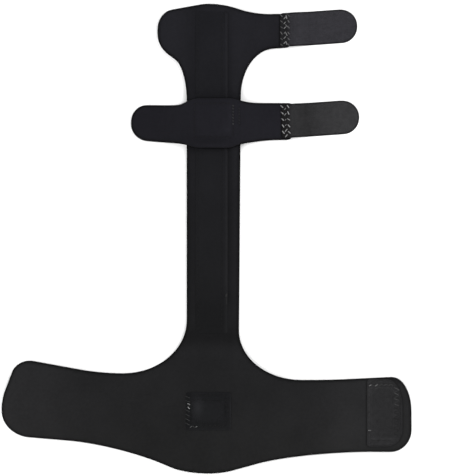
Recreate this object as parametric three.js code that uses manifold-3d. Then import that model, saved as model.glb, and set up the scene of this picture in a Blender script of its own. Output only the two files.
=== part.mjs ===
// Finger splint laid flat: a neoprene wrist band, spine and finger cap cut from one sheet,
// a sewn sleeve down the spine, a strap across it, and hook tape on the three free ends.
// Millimetres. +Y points to the fingertip, +Z is up, and the origin is on the underside,
// in the middle of the wrist.
import * as THREE from "three";
import { mergeVertices } from "three/addons/utils/BufferGeometryUtils.js";
import Module from "manifold-3d";

const wasm = await Module();
wasm.setup();

// Sheets and the gap that keeps one layer clear of the next
const PANEL_THICKNESS = 3.0;
const PANEL_EDGE_ROUND = 0.6;
const STRAP_THICKNESS = 2.6;
const TAB_THICKNESS = 1.6;
const HOOK_PATCH_THICKNESS = 1.3;
const HOOK_PATCH_EDGE_ROUND = 0.3;
const LAYER_GAP = 0.3;

// Spine, measured from the centreline of the finger
const SPINE_LEFT = 13.5;
const SPINE_RIGHT = 12.9;
const SPINE_LEAN = 1.3; // how much further the right edge stands out at the cap than at the wrist

// Finger cap
const FINGER_REACH = 210.0; // wrist centre to the top of the cap
const CAP_LENGTH = 49.5; // top of the cap to where the spine's edges run straight
const CAP_FLAP_REACH = 28.5; // centreline to the edge of the left flap
const ARM_REACH = 39.7; // centreline to the cut end of the strap arm
const ARM_WIDTH = 17.1;
const ARM_BELOW_TIP = 13.7; // top of the cap to the middle of the arm's end

// Wrist band
const BAND_LEFT_REACH = 108.8;
const BAND_RIGHT_REACH = 102.2;
const BAND_HEIGHT = 38.7;
const BELLY_DROP = 35.5; // wrist centre to the corner that the belly is rounded from

// Sleeve for the stay
const SLEEVE_WIDTH = 16.5;
const SLEEVE_SHIFT = -0.9; // its middle, left of the centreline
const SLEEVE_EDGE = 0.8; // height of its sewn sides
const SLEEVE_CROWN = 1.7; // height along its middle
const SLEEVE_TIP_MARGIN = 4.2; // top of the cap to the sleeve's upper end
const SLEEVE_WRIST_END = 40.0; // wrist centre to the sleeve's lower end
const SLEEVE_END_RAMP = 5.0;
const SLEEVE_CORNER = 2.0;

// Strap across the finger
const STRAP_LEFT_REACH = 42.3;
const STRAP_RIGHT_REACH = 40.7;
const STRAP_WIDTH = 19.0;
const STRAP_FLARE = 3.3; // how far the middle stands out past the wings, above and below
const STRAP_SETBACK = 11.9; // end of the cap to the strap's centreline
const WING_DROP_RUN = 12.0; // length over which a wing sinks from the spine to the floor

// Hook tape
const TAB_LENGTH = 39.8;
const TAB_WIDTH = 17.1;
const TAB_OVERLAP = 5.3; // the length sewn over the neoprene
const TAB_DROP_RUN = 11.0; // length over which a tab sinks to the floor
const TOP_TAB_RISE = 2.9; // how far the far end leans towards the fingertip
const MIDDLE_TAB_RISE = 2.8;
const HOOK_PATCH_WIDTH = 18.1;
const HOOK_PATCH_END_MARGIN = 4.8;
const HOOK_PATCH_UPPER_MARGIN = 1.6;
const HOOK_PATCH_LOWER_MARGIN = 3.0;

// Stitched square on the wrist
const SQUARE_WIDTH = 23.2;
const SQUARE_HEIGHT = 19.6;
const SQUARE_SHIFT = -2.4;
const SQUARE_THICKNESS = 1.4;
const SQUARE_EDGE_ROUND = 0.6;
const SQUARE_CORNER = 1.5;

// Drawing values
const ARC_FULLNESS = 0.5523; // the handle length that makes a cubic curve a quarter of an ellipse
const EDGE_SHARE_CUT = 0.98; // the most of an edge that its two corners may round off
const CURVE_STEPS = 16;
const BEND_STEPS = 8;
const EDGE_STEPS = 2;

const panelTop = PANEL_THICKNESS + LAYER_GAP;
const spineTopY = FINGER_REACH - CAP_LENGTH;
const strapY = spineTopY - STRAP_SETBACK;
const armMiddleY = FINGER_REACH - ARM_BELOW_TIP;
const spineRightTop = SPINE_RIGHT + SPINE_LEAN;
const sleeveTopY = FINGER_REACH - SLEEVE_TIP_MARGIN;

// The finger cap's corners. Across is a share of the flap's reach, down a share of the cap's
// length from its top, and the cuts are the lengths rounded off before and after the corner,
// as shares of the flap's reach.
const CAP_LEFT_CORNERS = [
  { at: "crest", across: 0.05, down: -0.021, before: 0.36, after: 0.27 },
  { at: "upper flap", across: -1.007, down: 0.088, before: 0.25, after: 0.31 },
  { at: "lower flap", across: -1.0, down: 0.44, before: 0.2, after: 0.19 },
];
const CAP_NOTCH = { down: 0.67, before: 0.25, after: 0.58 };

// Where the arm grows out of the cap. Across is a share of the arm's reach, half a share of
// its width from its middle, and the cuts are shares of its width.
const ARMPIT = { half: -0.602, before: 1.37, after: 0.97 };
const ARM_NECK = { across: 0.543, half: 0.477, before: 0.45, after: 0.45 };

// The wrist band's corners. Across is a share of that side's reach, up a share of the band's
// height from the wrist centre, and the cuts are shares of the band's height.
const BAND_LEFT_CORNERS = [
  { at: "upper waist", across: -0.532, up: 0.497, before: 0.27, after: 0.27 },
  { at: "upper end", across: -0.928, up: 0.699, before: 0.2, after: 0.19 },
  { at: "end", across: -1.002, up: 0.153, before: 0.11, after: 0.11 },
  { at: "lower end", across: -1.002, up: -0.318, before: 0.31, after: 0.36 },
  { at: "lower waist", across: -0.436, up: -0.45, before: 0.7, after: 0.77 },
];
const BAND_BELLY = { across: -0.071, before: 0.51, after: 0.47 };
const BAND_RIGHT_CORNERS = [
  { at: "lower waist", across: 0.452, up: -0.532, before: 0.62, after: 0.99 },
  { at: "lower end", across: 1.0, up: -0.545, before: 0.28, after: 0.29 },
  { at: "upper end", across: 0.998, up: 0.461, before: 0.46, after: 0.26 },
  { at: "upper waist", across: 0.59, up: 0.409, before: 0.2, after: 0.2 },
];
const LEFT_SHOULDER = { up: 0.497, before: 0.71, after: 0.86 };
const RIGHT_SHOULDER = { up: 0.407, before: 0.84, after: 0.667 };

// The strap's corners. Across is a share of that side's reach, half a share of the wing's
// width from its centreline, flare a share of the flare added to it, and the cuts are
// shares of the wing's width.
const STRAP_LEFT_UPPER = [
  { at: "shoulder", across: -0.259, half: 0.5, flare: 0.93, before: 0.16, after: 0.16 },
  { at: "root", across: -0.393, half: 0.467, flare: 0, before: 0.12, after: 0.19 },
  { at: "upper end", across: -1.0, half: 0.482, flare: 0, before: 0.41, after: 0.47 },
];
const STRAP_LEFT_LOWER = [
  { at: "lower end", across: -1.0, half: -0.452, flare: 0, before: 0.41, after: 0.44 },
  { at: "root", across: -0.345, half: -0.565, flare: 0, before: 0.3, after: 0.1 },
  { at: "shoulder", across: -0.235, half: -0.5, flare: -1.08, before: 0.13, after: 0.13 },
];
const STRAP_RIGHT_LOWER = [
  { at: "shoulder", across: 0.24, half: -0.5, flare: -1.08, before: 0.13, after: 0.13 },
  { at: "root", across: 0.34, half: -0.565, flare: 0, before: 0.1, after: 0.3 },
  { at: "waist", across: 0.7, half: -0.455, flare: 0, before: 0.25, after: 0.25 },
  { at: "lower end", across: 1.0, half: -0.452, flare: 0, before: 0.12, after: 0.12 },
];
const STRAP_RIGHT_UPPER = [
  { at: "upper end", across: 1.0, half: 0.53, flare: 0, before: 0.04, after: 0.04 },
  { at: "root", across: 0.416, half: 0.535, flare: 0, before: 0.3, after: 0.15 },
  { at: "shoulder", across: 0.264, half: 0.5, flare: 1.0, before: 0.16, after: 0.16 },
];

// A hook tab's corners. Along is a share of its length, half and the cuts are shares of its width.
const TAB_CORNERS = [
  { at: "upper root", along: 0, half: 0.5, before: 0.02, after: 0.02 },
  { at: "lower root", along: 0, half: -0.5, before: 0.02, after: 0.02 },
  { at: "lower end", along: 1, half: -0.5, before: 0.43, after: 0.45 },
  { at: "upper end", along: 1, half: 0.5, before: 0.53, after: 0.55 },
];

// The point where the edge from one corner to the next leaves the first corner's rounding.
// Two cuts that would meet on a short edge share its length.
function cutPoint(corner, length, neighbour, neighbourLength) {
  const edge = new THREE.Vector2(neighbour.x - corner.x, neighbour.y - corner.y);
  const spare = (EDGE_SHARE_CUT * edge.length()) / (length + neighbourLength);
  return edge.setLength(length * Math.min(1, spare)).add(new THREE.Vector2(corner.x, corner.y));
}

// A closed shape through corners listed anticlockwise, each rounded by one cubic curve.
function roundedShape(corners) {
  const shape = new THREE.Shape();
  corners.forEach((corner, i) => {
    const previous = corners.at(i - 1);
    const next = corners[(i + 1) % corners.length];
    const start = cutPoint(corner, corner.before, previous, previous.after);
    const end = cutPoint(corner, corner.after, next, next.before);
    const tip = new THREE.Vector2(corner.x, corner.y);
    const first = start.clone().lerp(tip, ARC_FULLNESS);
    const second = end.clone().lerp(tip, ARC_FULLNESS);
    if (i === 0) shape.moveTo(start.x, start.y);
    else shape.lineTo(start.x, start.y);
    shape.bezierCurveTo(first.x, first.y, second.x, second.y, end.x, end.y);
  });
  shape.closePath();
  return shape;
}

// A flat sheet of one thickness with rounded edges, its underside at the given height.
function flatSheet(shape, thickness, edgeRound, bottom) {
  const geometry = new THREE.ExtrudeGeometry(shape, {
    depth: thickness - 2 * edgeRound,
    bevelThickness: edgeRound,
    bevelSize: edgeRound,
    bevelOffset: -edgeRound,
    bevelSegments: EDGE_STEPS,
    curveSegments: CURVE_STEPS,
  });
  return geometry.translate(0, 0, bottom + edgeRound);
}

function solidOf(geometry) {
  const bare = geometry.clone();
  bare.deleteAttribute("normal");
  bare.deleteAttribute("uv");
  const merged = mergeVertices(bare, 1e-4);
  return new wasm.Manifold(
    new wasm.Mesh({
      numProp: 3,
      vertProperties: merged.attributes.position.array,
      triVerts: new Uint32Array(merged.index.array),
    }),
  );
}

function geometryOf(solid) {
  const mesh = solid.getMesh();
  const geometry = new THREE.BufferGeometry();
  geometry.setAttribute("position", new THREE.BufferAttribute(mesh.vertProperties, 3));
  geometry.setIndex(new THREE.BufferAttribute(mesh.triVerts, 1));
  geometry.computeVertexNormals();
  return geometry;
}

// The steps from one height to another along a smooth S, as [position, height] pairs.
function easedSteps(fromX, fromZ, toX, toZ) {
  return Array.from({ length: BEND_STEPS }, (_, i) => {
    const t = (i + 1) / BEND_STEPS;
    const x = THREE.MathUtils.lerp(fromX, toX, t);
    const z = THREE.MathUtils.lerp(fromZ, toZ, THREE.MathUtils.smoothstep(t, 0, 1));
    return [x, z];
  });
}

// The side view of a sheet that lies along the given underside, as a solid right across
// the plan shape, cut to that plan shape.
function bentSheet(planShape, underside, thickness) {
  const side = new THREE.Shape();
  underside.forEach(([x, z], i) => (i === 0 ? side.moveTo(x, z) : side.lineTo(x, z)));
  underside.toReversed().forEach(([x, z]) => side.lineTo(x, z + thickness));
  side.closePath();
  const box = new THREE.Box2().setFromPoints(planShape.getPoints(CURVE_STEPS));
  const spread = box.getSize(new THREE.Vector2()).y;
  const across = new THREE.ExtrudeGeometry(side, { depth: 2 * spread, bevelEnabled: false });
  across.rotateX(Math.PI / 2);
  across.translate(0, box.max.y + spread / 2, 0);
  const highest = Math.max(...underside.map(([, z]) => z)) + thickness;
  const plan = new THREE.ExtrudeGeometry(planShape, {
    depth: highest + 2 * thickness,
    bevelEnabled: false,
    curveSegments: CURVE_STEPS,
  });
  plan.translate(0, 0, -thickness);
  return geometryOf(solidOf(plan).intersect(solidOf(across)));
}

// Neoprene panel: cap, spine and wrist band in one piece
function basePanel() {
  const capCuts = (row) => ({
    before: row.before * CAP_FLAP_REACH,
    after: row.after * CAP_FLAP_REACH,
  });
  const capY = (row) => FINGER_REACH - row.down * CAP_LENGTH;
  const bandCuts = (row) => ({
    before: row.before * BAND_HEIGHT,
    after: row.after * BAND_HEIGHT,
  });
  const bandY = (row) => row.up * BAND_HEIGHT;
  const bandCorner = (reach) => (row) => ({
    x: row.across * reach,
    y: bandY(row),
    ...bandCuts(row),
  });
  const armY = (row) => armMiddleY + row.half * ARM_WIDTH;
  const armCuts = (row) => ({
    before: row.before * ARM_WIDTH,
    after: row.after * ARM_WIDTH,
  });
  const endCuts = { before: 2 * PANEL_EDGE_ROUND, after: 2 * PANEL_EDGE_ROUND };
  return roundedShape([
    ...CAP_LEFT_CORNERS.map((row) => ({
      x: row.across * CAP_FLAP_REACH,
      y: capY(row),
      ...capCuts(row),
    })),
    { x: -SPINE_LEFT, y: capY(CAP_NOTCH), ...capCuts(CAP_NOTCH) },
    { x: -SPINE_LEFT, y: bandY(LEFT_SHOULDER), ...bandCuts(LEFT_SHOULDER) },
    ...BAND_LEFT_CORNERS.map(bandCorner(BAND_LEFT_REACH)),
    { x: BAND_BELLY.across * BAND_LEFT_REACH, y: -BELLY_DROP, ...bandCuts(BAND_BELLY) },
    ...BAND_RIGHT_CORNERS.map(bandCorner(BAND_RIGHT_REACH)),
    { x: SPINE_RIGHT, y: bandY(RIGHT_SHOULDER), ...bandCuts(RIGHT_SHOULDER) },
    { x: spineRightTop, y: armY(ARMPIT), ...armCuts(ARMPIT) },
    { x: ARM_REACH, y: armMiddleY - ARM_WIDTH / 2, ...endCuts },
    { x: ARM_REACH, y: armMiddleY + ARM_WIDTH / 2, ...endCuts },
    { x: ARM_NECK.across * ARM_REACH, y: armY(ARM_NECK), ...armCuts(ARM_NECK) },
  ]);
}

// The height of the sleeve's top over the panel, a shallow arch from side to side
function sleeveHeight(x) {
  const share = (2 * (x - SLEEVE_SHIFT)) / SLEEVE_WIDTH;
  return SLEEVE_EDGE + (SLEEVE_CROWN - SLEEVE_EDGE) * (1 - share * share);
}

const sleeveLeft = SLEEVE_SHIFT - SLEEVE_WIDTH / 2;
const sleeveRight = SLEEVE_SHIFT + SLEEVE_WIDTH / 2;

// The sleeve's arch as [x, height] pairs, left to right
function sleeveArch(bottom) {
  const steps = 2 * BEND_STEPS;
  return Array.from({ length: steps + 1 }, (_, i) => {
    const x = THREE.MathUtils.lerp(sleeveLeft, sleeveRight, i / steps);
    return [x, bottom + sleeveHeight(x)];
  });
}

// Sleeve: the arch carried along the spine, sloped down at both ends, with rounded corners
function staySleeve() {
  const arch = new THREE.Shape();
  arch.moveTo(sleeveRight, panelTop);
  sleeveArch(panelTop)
    .toReversed()
    .forEach(([x, z]) => arch.lineTo(x, z));
  arch.lineTo(sleeveLeft, panelTop);
  arch.closePath();
  const length = sleeveTopY - SLEEVE_WRIST_END;
  const along = new THREE.ExtrudeGeometry(arch, { depth: length, bevelEnabled: false });
  along.rotateX(Math.PI / 2);
  along.translate(0, sleeveTopY, 0);

  const ramp = SLEEVE_END_RAMP;
  const lift = SLEEVE_CROWN - SLEEVE_EDGE;
  const top = panelTop + SLEEVE_EDGE;
  const side = new THREE.Shape();
  side.moveTo(SLEEVE_WRIST_END, panelTop);
  side.lineTo(sleeveTopY, panelTop);
  side.lineTo(sleeveTopY, top);
  side.quadraticCurveTo(sleeveTopY - ramp / 2, top + lift, sleeveTopY - ramp, top + lift);
  side.lineTo(SLEEVE_WRIST_END + ramp, top + lift);
  side.quadraticCurveTo(SLEEVE_WRIST_END + ramp / 2, top + lift, SLEEVE_WRIST_END, top);
  side.closePath();
  const slope = new THREE.ExtrudeGeometry(side, {
    depth: SLEEVE_WIDTH,
    bevelEnabled: false,
    curveSegments: BEND_STEPS,
  });
  slope.rotateY(Math.PI / 2);
  slope.rotateX(Math.PI / 2);
  slope.translate(sleeveLeft, 0, 0);

  const corner = { before: SLEEVE_CORNER, after: SLEEVE_CORNER };
  const plan = new THREE.ExtrudeGeometry(
    roundedShape([
      { x: sleeveLeft, y: SLEEVE_WRIST_END, ...corner },
      { x: sleeveRight, y: SLEEVE_WRIST_END, ...corner },
      { x: sleeveRight, y: sleeveTopY, ...corner },
      { x: sleeveLeft, y: sleeveTopY, ...corner },
    ]),
    { depth: panelTop + 2 * SLEEVE_CROWN, bevelEnabled: false, curveSegments: EDGE_STEPS },
  );
  return geometryOf(solidOf(along).intersect(solidOf(slope)).intersect(solidOf(plan)));
}

// Strap across the finger: over the sleeve, sewn to the spine, its wings down on the floor
function middleStrap() {
  const corner = (reach) => (row) => ({
    x: row.across * reach,
    y: strapY + row.half * STRAP_WIDTH + row.flare * STRAP_FLARE,
    before: row.before * STRAP_WIDTH,
    after: row.after * STRAP_WIDTH,
  });
  const plan = roundedShape([
    ...STRAP_LEFT_UPPER.map(corner(STRAP_LEFT_REACH)),
    ...STRAP_LEFT_LOWER.map(corner(STRAP_LEFT_REACH)),
    ...STRAP_RIGHT_LOWER.map(corner(STRAP_RIGHT_REACH)),
    ...STRAP_RIGHT_UPPER.map(corner(STRAP_RIGHT_REACH)),
  ]);
  const arch = sleeveArch(panelTop + LAYER_GAP);
  const overEdge = panelTop + LAYER_GAP + SLEEVE_EDGE;
  const leftEdge = -SPINE_LEFT - 2 * LAYER_GAP;
  const rightEdge = spineRightTop + 2 * LAYER_GAP;
  const leftFloor = leftEdge - WING_DROP_RUN;
  const rightFloor = rightEdge + WING_DROP_RUN;
  const underside = [
    [-STRAP_LEFT_REACH - STRAP_THICKNESS, 0],
    ...easedSteps(leftEdge, panelTop, leftFloor, 0).toReversed(),
    [leftEdge, panelTop],
    ...easedSteps(leftEdge, panelTop, sleeveLeft, overEdge).slice(0, -1),
    ...arch,
    ...easedSteps(sleeveRight, overEdge, rightEdge, panelTop),
    ...easedSteps(rightEdge, panelTop, rightFloor, 0),
    [STRAP_RIGHT_REACH + STRAP_THICKNESS, 0],
  ];
  return bentSheet(plan, underside, STRAP_THICKNESS);
}

// The middle of the strap's right end, where its tab is sewn
const strapEndHalf = (STRAP_RIGHT_LOWER.at(-1).half + STRAP_RIGHT_UPPER.at(0).half) / 2;
const strapEndY = strapY + strapEndHalf * STRAP_WIDTH;

// Hook tab: sewn over a neoprene end at the given height, then down to the floor
function hookTab(neopreneEnd, rootY, rise, neopreneTop) {
  const root = neopreneEnd - TAB_OVERLAP;
  const end = root + TAB_LENGTH;
  const plan = roundedShape(
    TAB_CORNERS.map((row) => ({
      x: THREE.MathUtils.lerp(root, end, row.along),
      y: rootY + rise * row.along + row.half * TAB_WIDTH,
      before: row.before * TAB_WIDTH,
      after: row.after * TAB_WIDTH,
    })),
  );
  const seat = neopreneTop + LAYER_GAP;
  const edge = neopreneEnd + LAYER_GAP;
  const underside = [
    [root - TAB_THICKNESS, seat],
    [edge, seat],
    ...easedSteps(edge, seat, edge + TAB_DROP_RUN, 0),
    [end + TAB_THICKNESS, 0],
  ];
  return bentSheet(plan, underside, TAB_THICKNESS);
}

// Hook patch: follows the rounded right end of the wrist band, set in by its margins
function wristHookPatch() {
  const row = (name) => BAND_RIGHT_CORNERS.find((corner) => corner.at === name);
  const right = BAND_RIGHT_REACH - HOOK_PATCH_END_MARGIN;
  const left = right - HOOK_PATCH_WIDTH;
  const upper = row("upper end").up * BAND_HEIGHT - HOOK_PATCH_UPPER_MARGIN;
  const lower = row("lower end").up * BAND_HEIGHT + HOOK_PATCH_LOWER_MARGIN;
  const square = { before: HOOK_PATCH_EDGE_ROUND * 2, after: HOOK_PATCH_EDGE_ROUND * 2 };
  const cuts = (corner) => ({
    before: corner.before * BAND_HEIGHT - HOOK_PATCH_LOWER_MARGIN,
    after: corner.after * BAND_HEIGHT - HOOK_PATCH_LOWER_MARGIN,
  });
  return roundedShape([
    { x: left, y: upper, ...square },
    { x: left, y: lower, ...square },
    { x: right, y: lower, ...cuts(row("lower end")) },
    { x: right, y: upper, ...cuts(row("upper end")) },
  ]);
}

// Square sewn to the wrist, in line with the spine
function centrePatch() {
  const left = SQUARE_SHIFT - SQUARE_WIDTH / 2;
  const right = SQUARE_SHIFT + SQUARE_WIDTH / 2;
  const half = SQUARE_HEIGHT / 2;
  const corner = { before: SQUARE_CORNER, after: SQUARE_CORNER };
  return roundedShape([
    { x: left, y: half, ...corner },
    { x: left, y: -half, ...corner },
    { x: right, y: -half, ...corner },
    { x: right, y: half, ...corner },
  ]);
}

const neoprene = new THREE.MeshStandardMaterial({ color: 0x252528, roughness: 0.92, metalness: 0 });
const strapCloth = new THREE.MeshStandardMaterial({ color: 0x242327, roughness: 0.92, metalness: 0 });
const hookTape = new THREE.MeshStandardMaterial({ color: 0x38373b, roughness: 0.6, metalness: 0 });

const splint = new THREE.Group();

function addPiece(name, geometry, material) {
  const mesh = new THREE.Mesh(geometry, material);
  mesh.name = name;
  splint.add(mesh);
}

addPiece("base_panel", flatSheet(basePanel(), PANEL_THICKNESS, PANEL_EDGE_ROUND, 0), neoprene);
addPiece("stay_sleeve", staySleeve(), neoprene);
addPiece("middle_strap", middleStrap(), strapCloth);
addPiece("top_hook_tab", hookTab(ARM_REACH, armMiddleY, TOP_TAB_RISE, PANEL_THICKNESS), hookTape);
addPiece(
  "middle_hook_tab",
  hookTab(STRAP_RIGHT_REACH, strapEndY, MIDDLE_TAB_RISE, STRAP_THICKNESS),
  hookTape,
);
addPiece(
  "wrist_hook_patch",
  flatSheet(wristHookPatch(), HOOK_PATCH_THICKNESS, HOOK_PATCH_EDGE_ROUND, panelTop),
  hookTape,
);
addPiece(
  "centre_patch",
  flatSheet(centrePatch(), SQUARE_THICKNESS, SQUARE_EDGE_ROUND, panelTop),
  neoprene,
);

export default splint;
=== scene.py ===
# Finger splint laid flat, seen from straight above: a neoprene panel with a sewn sleeve for the
# stay, a strap across the finger, hook tape on its three free ends and a padded square at the wrist.
import math
from collections import namedtuple

import bpy
import numpy as np
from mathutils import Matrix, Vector
from mathutils.geometry import delaunay_2d_cdt


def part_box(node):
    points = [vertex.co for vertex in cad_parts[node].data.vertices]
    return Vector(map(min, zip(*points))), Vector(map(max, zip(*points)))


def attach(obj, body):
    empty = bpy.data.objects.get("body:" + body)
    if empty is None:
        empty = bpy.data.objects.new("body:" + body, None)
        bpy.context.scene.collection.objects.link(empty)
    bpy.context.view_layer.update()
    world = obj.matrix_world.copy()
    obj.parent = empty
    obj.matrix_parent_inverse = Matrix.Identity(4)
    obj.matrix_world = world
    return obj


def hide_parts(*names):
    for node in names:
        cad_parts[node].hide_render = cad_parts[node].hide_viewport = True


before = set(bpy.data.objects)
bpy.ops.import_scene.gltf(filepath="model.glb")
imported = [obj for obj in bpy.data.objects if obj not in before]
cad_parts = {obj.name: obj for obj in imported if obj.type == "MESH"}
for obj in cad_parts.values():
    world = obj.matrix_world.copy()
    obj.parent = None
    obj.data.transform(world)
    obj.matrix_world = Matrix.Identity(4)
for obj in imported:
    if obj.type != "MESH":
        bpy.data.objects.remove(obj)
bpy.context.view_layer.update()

MM = 0.001
TURN = 2 * math.pi

# Frame boxes that the pieces are worked out from
PANEL_LOW, PANEL_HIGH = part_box("base_panel")
SLEEVE_LOW, SLEEVE_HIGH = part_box("stay_sleeve")
STRAP_LOW, STRAP_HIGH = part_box("middle_strap")
TOP_TAB_LOW, TOP_TAB_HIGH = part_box("top_hook_tab")
MIDDLE_TAB_LOW, MIDDLE_TAB_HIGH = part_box("middle_hook_tab")
PATCH_LOW, PATCH_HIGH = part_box("wrist_hook_patch")
SQUARE_LOW, SQUARE_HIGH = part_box("centre_patch")
SLEEVE_MIDDLE = (SLEEVE_LOW.x + SLEEVE_HIGH.x) / 2
SLEEVE_HALF = (SLEEVE_HIGH.x - SLEEVE_LOW.x) / 2
SPINE_HALF = 13.8 * MM
SPINE_FADE = 2.0 * MM

# Reading the frame
WELD = 0.001 * MM
LEVEL = 0.05  # a face whose normal leans up by more than this is part of a top
LOOP_STEP = 0.6 * MM
LOOP_SOFTEN = 2  # steps to each side over which an outline is evened out
LOOP_EASE = 0.2 * MM  # let out again by what that takes off round corners
BEND_STEP = 0.25 * MM
BEND_SOFTEN = 5  # steps to each side over which a bend is evened out

# Filling an outline with triangles
PANEL_PITCH = 1.0 * MM
STRAP_PITCH = 0.6 * MM
TAPE_PITCH = 0.5 * MM
RIM_CLEAR = 0.6  # pitches between the rim and the first points inside it
SAME_POINT = 0.01 * WELD
INSIDE_ONLY = 1  # Blender's number for keeping only the triangles inside a border
BLOCK = 2000  # how many points a test takes at a time

# Layers
LAYER_GAP = 0.3 * MM  # between the frame's own solids
LAYER_CLEAR = 0.05 * MM  # between the layers made here
TAPE_THICKNESS = 0.85 * MM
TAB_SEAT = 5.3 * MM  # the length of a tab that is sewn over the neoprene

# Slow swells of the laid cloth, as wavelength, direction and phase
Swell = namedtuple("Swell", "length direction phase")
SWELLS = [
    Swell(74 * MM, 0.3, 0.4),
    Swell(47 * MM, 1.9, 2.1),
    Swell(31 * MM, 2.8, 4.0),
    Swell(19 * MM, 1.1, 5.2),
]
PANEL_SWELL = 0.22 * MM
STRAP_SWELL = 0.25 * MM

# A sheet's edge: how far each line lies in from the outline, its share of the thickness, and the
# material between it and the next line. On laminated foam the two cloth facings stop short, so
# the dark foam shows as a thin line from above.
EdgeLine = namedtuple("EdgeLine", "inset level finish")
FACE = 0
CUT = 1
NEOPRENE_EDGE = [
    EdgeLine(0.85 * MM, 0.0, FACE),
    EdgeLine(0.4 * MM, 0.015, FACE),
    EdgeLine(0.2 * MM, 0.06, FACE),
    EdgeLine(0.12 * MM, 0.13, CUT),
    EdgeLine(0.2 * MM, 0.18, CUT),
    EdgeLine(0.05 * MM, 0.3, CUT),
    EdgeLine(0.0 * MM, 0.45, CUT),
    EdgeLine(0.06 * MM, 0.62, CUT),
    EdgeLine(0.18 * MM, 0.78, CUT),
    EdgeLine(0.34 * MM, 0.86, CUT),
    EdgeLine(0.3 * MM, 0.9, FACE),
    EdgeLine(0.44 * MM, 0.96, FACE),
    EdgeLine(0.64 * MM, 0.99, FACE),
    EdgeLine(0.86 * MM, 1.0, FACE),
]
TAPE_EDGE = [
    EdgeLine(0.6 * MM, 0.0, CUT),
    EdgeLine(0.2 * MM, 0.03, CUT),
    EdgeLine(0.0 * MM, 0.3, CUT),
    EdgeLine(0.03 * MM, 0.65, CUT),
    EdgeLine(0.14 * MM, 0.9, CUT),
    EdgeLine(0.3 * MM, 1.04, FACE),
    EdgeLine(0.6 * MM, 1.0, FACE),
]

# Painted light and shade, which make a cloth paler or darker than its own colour. Its rim gets
# painted shade, by a depth that fades over a reach, and that is partly lost over the spine. A soft
# spot, painted light where its gain is above 0 and painted shade where it is below, has a middle,
# how far it reaches along x and y, and what it adds to a brightness of 1.
Rim = namedtuple("Rim", "depth reach calm")
Spot = namedtuple("Spot", "x y reach_x reach_y gain")
Marks = namedtuple("Marks", "rim spots seams")
# Painted shade in the grooves of seams
GROOVE_PAINTED_SHADE = 0.55 / MM  # the share of brightness lost to each millimetre of a groove

# A seam's path and stitches. The kinds are run, a straight row, and zigzag. Every second stitch
# has the tone in back, and sink is how deep the cloth is pulled in.
Seam = namedtuple("Seam", "path kind pitch width thread tone back sink")
SEAM_SPREAD = 0.65 * MM
SEAM_PUCKER = 0.35  # how much shallower a seam is between its needle holes

# Thread tones, from black to light grey. The paler tones are partly the thread's own colour and
# partly painted glints on glossy dark thread.
BLACK = 0.0
KNOT = 0.11
DARK = 0.3
DULL = 0.45
GREY = 0.6
PALE = 0.8
LIGHT = 1.0

# Reading shapes from the frame


def mesh_points(mesh):
    """The places of a mesh's points, a row for each."""
    points = np.empty(3 * len(mesh.vertices))
    mesh.vertices.foreach_get("co", points)
    return points.reshape(-1, 3)


def node_surface(name):
    """A CAD node's points and triangles, with points that lie together made one."""
    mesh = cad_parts[name].data
    points = mesh_points(mesh)
    corners = np.empty(3 * len(mesh.polygons), int)
    mesh.polygons.foreach_get("vertices", corners)
    _, first, place = np.unique(
        np.round(points / WELD), axis=0, return_index=True, return_inverse=True
    )
    return points[first], place.reshape(-1)[corners].reshape(-1, 3)


def facing_faces(points, triangles, way):
    """The triangles that face up, for a way of 1, or down, for a way of -1."""
    a, b, c = (points[triangles[:, i]] for i in range(3))
    normal = np.cross(b - a, c - a)
    return triangles[way * normal[:, 2] > LEVEL * np.linalg.norm(normal, axis=1)]


def plan_outline(name):
    """A node's outline from above, anticlockwise: the edges that only one upward face uses. The
    walk along them doubles its length at each step, with a jump that doubles too."""
    points, triangles = node_surface(name)
    top = facing_faces(points, triangles, 1)
    edges = np.concatenate([top[:, [0, 1]], top[:, [1, 2]], top[:, [2, 0]]])
    forward = edges[:, 0] * len(points) + edges[:, 1]
    backward = edges[:, 1] * len(points) + edges[:, 0]
    rim = edges[~np.isin(forward, backward)]
    jump = np.arange(len(points))
    jump[rim[:, 0]] = rim[:, 1]
    walk = rim[:1, 0]
    while len(walk) < len(rim):
        walk = np.concatenate([walk, jump[walk]])
        jump = jump[jump]
    return points[walk[: len(rim)], :2]


def running_mean(values, reach):
    """Each value of a closed row replaced by the mean of those up to reach steps away."""
    return np.mean([np.roll(values, s, axis=0) for s in range(-reach, reach + 1)], axis=0)


def lengths_along(path):
    """The length from a path's start to each of its points."""
    return np.concatenate([[0], np.cumsum(np.linalg.norm(np.diff(path, axis=0), axis=1))])


def even_points(path, step, closed=False):
    """A path's points spread evenly, about step apart, on the same line."""
    path = np.vstack([path, path[:1]]) if closed else np.asarray(path, float)
    along = lengths_along(path)
    count = max(2, round(along[-1] / step)) + (0 if closed else 1)
    at = np.linspace(0, along[-1], count, endpoint=not closed)
    return np.column_stack([np.interp(at, along, path[:, i]) for i in range(path.shape[1])])


def outward(loop):
    """The unit vectors that point out of an anticlockwise loop at its points."""
    along = np.roll(loop, -1, axis=0) - np.roll(loop, 1, axis=0)
    along /= np.linalg.norm(along, axis=1, keepdims=True)
    return np.column_stack([along[:, 1], -along[:, 0]])


def soft_outline(name):
    """A node's outline with evenly spread points, its corners a little softened."""
    loop = running_mean(even_points(plan_outline(name), LOOP_STEP, closed=True), LOOP_SOFTEN)
    return loop + outward(loop) * LOOP_EASE


def bend_of(name, way):
    """The height of a bent sheet's top or underside as a function of x, softened by a mean over
    a short stretch to each side. A bent sheet has the same side view all along y."""
    points, triangles = node_surface(name)
    used = points[np.unique(facing_faces(points, triangles, way))]
    x, first = np.unique(np.round(used[:, 0] / WELD), return_index=True)
    height = used[first, 2]
    at = np.arange(x[0] * WELD, x[-1] * WELD, BEND_STEP)
    level = np.interp(at, x * WELD, height)
    padded = np.pad(level, BEND_SOFTEN, mode="edge")
    window = np.ones(2 * BEND_SOFTEN + 1) / (2 * BEND_SOFTEN + 1)
    smooth = np.convolve(padded, window, mode="valid")
    return lambda across: np.interp(across, at, smooth)


# Heights and shades


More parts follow.
